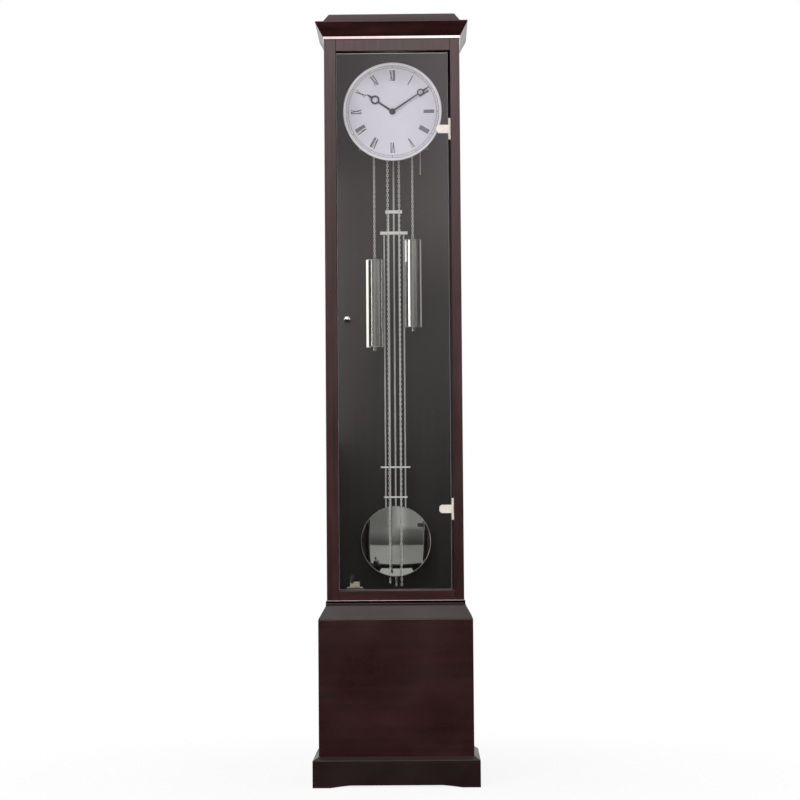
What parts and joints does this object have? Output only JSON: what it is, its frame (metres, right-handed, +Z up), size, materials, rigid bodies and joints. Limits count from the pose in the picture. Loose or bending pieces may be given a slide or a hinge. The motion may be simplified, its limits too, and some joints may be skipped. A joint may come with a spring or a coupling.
{
  "type": "longcase clock",
  "caption": "Tall straight longcase clock in dark wood with a full-length glass door, round enamel dial, gridiron pendulum with lens bob and chain-hung cylindrical weights.",
  "frame": {"origin": "on the floor, in the middle of the plinth's outline", "axes": "+X to the right seen from the front, +Y towards the back, +Z up; the dial faces -Y"},
  "size_m": [0.41, 0.255, 1.915],
  "materials": {
    "case_wood": "dark stained mahogany, satin lacquer",
    "back_wood": "stained plywood, satin",
    "inner_wood": "plain board, oiled",
    "trim_silver": "silver leafed band, satin",
    "glass": "clear float glass, polished edges",
    "chrome": "polished chrome plating",
    "catch_plastic": "moulded, matt",
    "dial_enamel": "white enamel, gloss",
    "hand_black": "black lacquer",
    "brass": "lacquered brass",
    "steel": "bright steel",
    "zinc_steel": "zinc plated steel",
    "weight_iron": "cast core with a plated stem",
    "gong_iron": "cast block, painted; drawn steel rod",
    "bar_chrome": "polished chrome plating"
  },
  "bodies": {
    "case": {"plinth_boards": "case_wood", "base_front_panel": "case_wood", "base_side_panels": "case_wood", "inner_boards": "inner_wood", "back_panels": "back_wood", "collar_moulding": "case_wood", "trim_bands": "trim_silver", "front_frame": "case_wood", "trunk_side_panels": "case_wood", "cornice_moulding": "case_wood", "top_cap": "case_wood", "movement_seat_board": "inner_wood", "seat_board_brackets": "zinc_steel", "door_magnet_catch": "catch_plastic", "door_hinge_leaves": "chrome", "movement_plates": "brass", "plate_pillars": "brass", "dial_plate": "dial_enamel", "dial_bezel": "chrome", "suspension_cock": "brass", "rod_gong": "gong_iron"},
    "door": {"door_glass": "glass", "door_hinge_clamps": "chrome", "door_knob": "chrome", "door_strike": "zinc_steel"},
    "pendulum": {"suspension_spring": "steel", "pendulum_leader": "steel", "pendulum_rods": "chrome", "pendulum_crossbars": "bar_chrome"},
    "bob": {"pendulum_bob": "chrome"},
    "rating_nut": {"rating_nut": "chrome"},
    "anchor": {"pallet_anchor": "steel"},
    "minute_pipe": {"cannon_pinion": "steel", "minute_hand": "hand_black"},
    "centre_arbor": {"centre_wheel": "brass"},
    "motion_wheel": {"minute_wheel": "brass"},
    "hour_pipe": {"hour_wheel": "brass", "hour_hand": "hand_black"},
    "third_arbor": {"third_wheel": "brass"},
    "escape_arbor": {"escape_wheel": "brass"},
    "time_second_arbor": {"time_second_wheel": "brass"},
    "time_great_arbor": {"time_great_wheel": "brass"},
    "time_chain_wheel": {"time_sprocket": "brass"},
    "time_weight": {"time_weight_tube": "chrome", "time_weight_caps": "chrome", "time_weight_core": "weight_iron", "time_chain": "bar_chrome"},
    "time_tail": {"time_chain_tail": "bar_chrome"},
    "strike_pin_arbor": {"strike_pin_wheel": "brass"},
    "strike_second_arbor": {"strike_second_wheel": "brass"},
    "strike_great_arbor": {"strike_great_wheel": "brass"},
    "strike_fly_arbor": {"strike_fly": "steel"},
    "strike_chain_wheel": {"strike_sprocket": "brass"},
    "strike_weight": {"strike_weight_tube": "chrome", "strike_weight_caps": "chrome", "strike_weight_core": "weight_iron", "strike_chain": "bar_chrome"},
    "strike_tail": {"strike_chain_tail": "bar_chrome", "strike_chain_drop": "bar_chrome"},
    "hammer": {"strike_hammer": "steel"}
  },
  "joints": [
    {"name": "door_swing", "type": "hinge", "parent": "case", "child": "door", "pos_m": [0.142, -0.09, 1.147], "axis": [0, 0, 1], "range_deg": [0, 110]},
    {"name": "pendulum_swing", "type": "hinge", "parent": "case", "child": "pendulum", "pos_m": [0, 0.0685, 1.722], "axis": [0, 1, 0], "range_deg": [-2, 2]},
    {"name": "anchor_rock", "type": "hinge", "parent": "case", "child": "anchor", "pos_m": [0, 0.0205, 1.722], "axis": [0, 1, 0], "range_deg": [-2, 2]},
    {"name": "bob_slide", "type": "slide", "parent": "pendulum", "child": "bob", "axis": [0, 0, 1], "range_m": [-0.006, 0.006]},
    {"name": "rating_nut_turn", "type": "hinge", "parent": "bob", "child": "rating_nut", "pos_m": [0, 0.0685, 0.4993], "axis": [0, 0, 1], "range_deg": [-2160, 2160]},
    {"name": "minute_hand_turn", "type": "hinge", "parent": "case", "child": "minute_pipe", "pos_m": [0, 0.0205, 1.68], "axis": [0, 1, 0], "continuous": true},
    {"name": "minute_wheel_turn", "type": "hinge", "parent": "case", "child": "motion_wheel", "pos_m": [0.01273, 0.0205, 1.66727], "axis": [0, 1, 0], "continuous": true},
    {"name": "hour_hand_turn", "type": "hinge", "parent": "case", "child": "hour_pipe", "pos_m": [0, 0.0205, 1.68], "axis": [0, 1, 0], "continuous": true},
    {"name": "escape_wheel_turn", "type": "hinge", "parent": "case", "child": "escape_arbor", "pos_m": [0, 0.0205, 1.70432], "axis": [0, 1, 0], "continuous": true},
    {"name": "third_wheel_turn", "type": "hinge", "parent": "case", "child": "third_arbor", "pos_m": [-0.01285, 0.0205, 1.69386], "axis": [0, 1, 0], "continuous": true},
    {"name": "centre_wheel_turn", "type": "hinge", "parent": "case", "child": "centre_arbor", "pos_m": [0, 0.0205, 1.68], "axis": [0, 1, 0], "continuous": true},
    {"name": "time_second_wheel_turn", "type": "hinge", "parent": "case", "child": "time_second_arbor", "pos_m": [0.02764, 0.0205, 1.67556], "axis": [0, 1, 0], "continuous": true},
    {"name": "time_great_wheel_turn", "type": "hinge", "parent": "case", "child": "time_great_arbor", "pos_m": [0.0315, 0.0205, 1.645], "axis": [0, 1, 0], "continuous": true},
    {"name": "time_weight_drop", "type": "slide", "parent": "case", "child": "time_weight", "axis": [0, 0, 1], "range_m": [-0.375, 0.195], "deforming": ["time_chain"]},
    {"name": "time_tail_rise", "type": "slide", "parent": "case", "child": "time_tail", "axis": [0, 0, 1], "range_m": [-0.195, 0.375], "deforming": ["time_chain_tail"]},
    {"name": "time_sprocket_turn", "type": "hinge", "parent": "case", "child": "time_chain_wheel", "pos_m": [0.0315, 0.0205, 1.645], "axis": [0, 1, 0], "range_deg": [-660, 1270]},
    {"name": "strike_fly_turn", "type": "hinge", "parent": "case", "child": "strike_fly_arbor", "pos_m": [-0.04029, 0.0205, 1.70622], "axis": [0, 1, 0], "continuous": true},
    {"name": "strike_pin_wheel_turn", "type": "hinge", "parent": "case", "child": "strike_pin_arbor", "pos_m": [-0.03468, 0.0205, 1.69361], "axis": [0, 1, 0], "continuous": true},
    {"name": "strike_second_wheel_turn", "type": "hinge", "parent": "case", "child": "strike_second_arbor", "pos_m": [-0.04203, 0.0205, 1.67394], "axis": [0, 1, 0], "continuous": true},
    {"name": "strike_great_wheel_turn", "type": "hinge", "parent": "case", "child": "strike_great_arbor", "pos_m": [-0.0315, 0.0205, 1.645], "axis": [0, 1, 0], "continuous": true},
    {"name": "strike_weight_drop", "type": "slide", "parent": "case", "child": "strike_weight", "axis": [0, 0, 1], "range_m": [-0.325, 0.245], "deforming": ["strike_chain"]},
    {"name": "strike_tail_rise", "type": "slide", "parent": "case", "child": "strike_tail", "axis": [0, 0, 1], "range_m": [-0.245, 0.325], "deforming": ["strike_chain_tail"]},
    {"name": "strike_sprocket_turn", "type": "hinge", "parent": "case", "child": "strike_chain_wheel", "pos_m": [-0.0315, 0.0205, 1.645], "axis": [0, 1, 0], "range_deg": [-1100, 830]},
    {"name": "hammer_lift", "type": "hinge", "parent": "case", "child": "hammer", "pos_m": [0.057, 0.0505, 1.725], "axis": [0, 1, 0], "range_deg": [0, 8]}
  ],
  "couplings": [
    {"joint": "anchor_rock", "follows": "pendulum_swing", "ratio": 1},
    {"joint": "rating_nut_turn", "follows": "bob_slide", "rad_per_m": 6283.2},
    {"joint": "minute_wheel_turn", "follows": "minute_hand_turn", "ratio": -0.33333},
    {"joint": "hour_hand_turn", "follows": "minute_hand_turn", "ratio": 0.083333},
    {"joint": "third_wheel_turn", "follows": "escape_wheel_turn", "ratio": -0.13333},
    {"joint": "centre_wheel_turn", "follows": "escape_wheel_turn", "ratio": 0.016667},
    {"joint": "time_second_wheel_turn", "follows": "escape_wheel_turn", "ratio": -0.0027778},
    {"joint": "time_great_wheel_turn", "follows": "escape_wheel_turn", "ratio": 0.00046296},
    {"joint": "time_tail_rise", "follows": "time_weight_drop", "ratio": -1},
    {"joint": "time_sprocket_turn", "follows": "time_weight_drop", "rad_per_m": -58.824},
    {"joint": "strike_pin_wheel_turn", "follows": "strike_fly_turn", "ratio": -0.15},
    {"joint": "strike_second_wheel_turn", "follows": "strike_fly_turn", "ratio": 0.025},
    {"joint": "strike_great_wheel_turn", "follows": "strike_fly_turn", "ratio": -0.0041667},
    {"joint": "strike_tail_rise", "follows": "strike_weight_drop", "ratio": -1},
    {"joint": "strike_sprocket_turn", "follows": "strike_weight_drop", "rad_per_m": 58.824}
  ]
}
